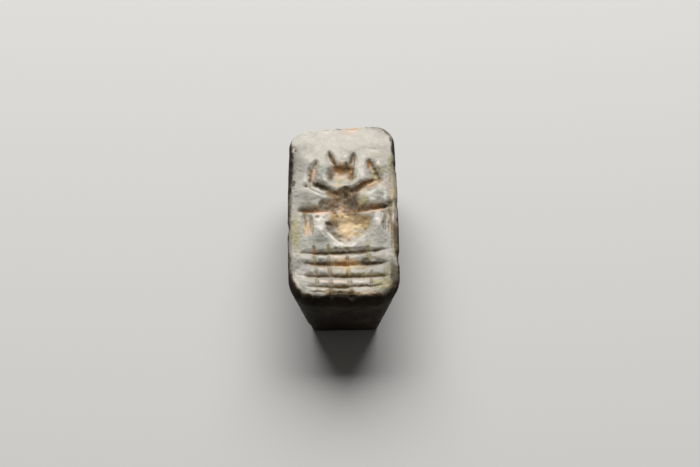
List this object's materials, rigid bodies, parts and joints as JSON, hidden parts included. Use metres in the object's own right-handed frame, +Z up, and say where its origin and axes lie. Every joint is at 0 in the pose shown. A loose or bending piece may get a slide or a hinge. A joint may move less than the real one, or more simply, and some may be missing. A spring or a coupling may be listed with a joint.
{
  "type": "stamp seal",
  "caption": "Rectangular stone stamp seal with a tapering back, engraved with a horned figure over a hatched field and pierced for a cord.",
  "frame": {"origin": "centre of the narrow back, on the surface that the seal lies on", "axes": "+Z up through the engraved face, +Y along the seal towards the figure's head, +X to the right of someone who looks down at the face with the head away from them"},
  "size_m": [0.02, 0.037, 0.015],
  "materials": {
    "worn_stone": "hand-worn, half-polished soft stone: pale grey on the rubbed face, dark olive brown on the walls, with brown earth in the cuts"
  },
  "bodies": {
    "root": {"stamp_seal": "worn_stone"}
  },
  "joints": []
}
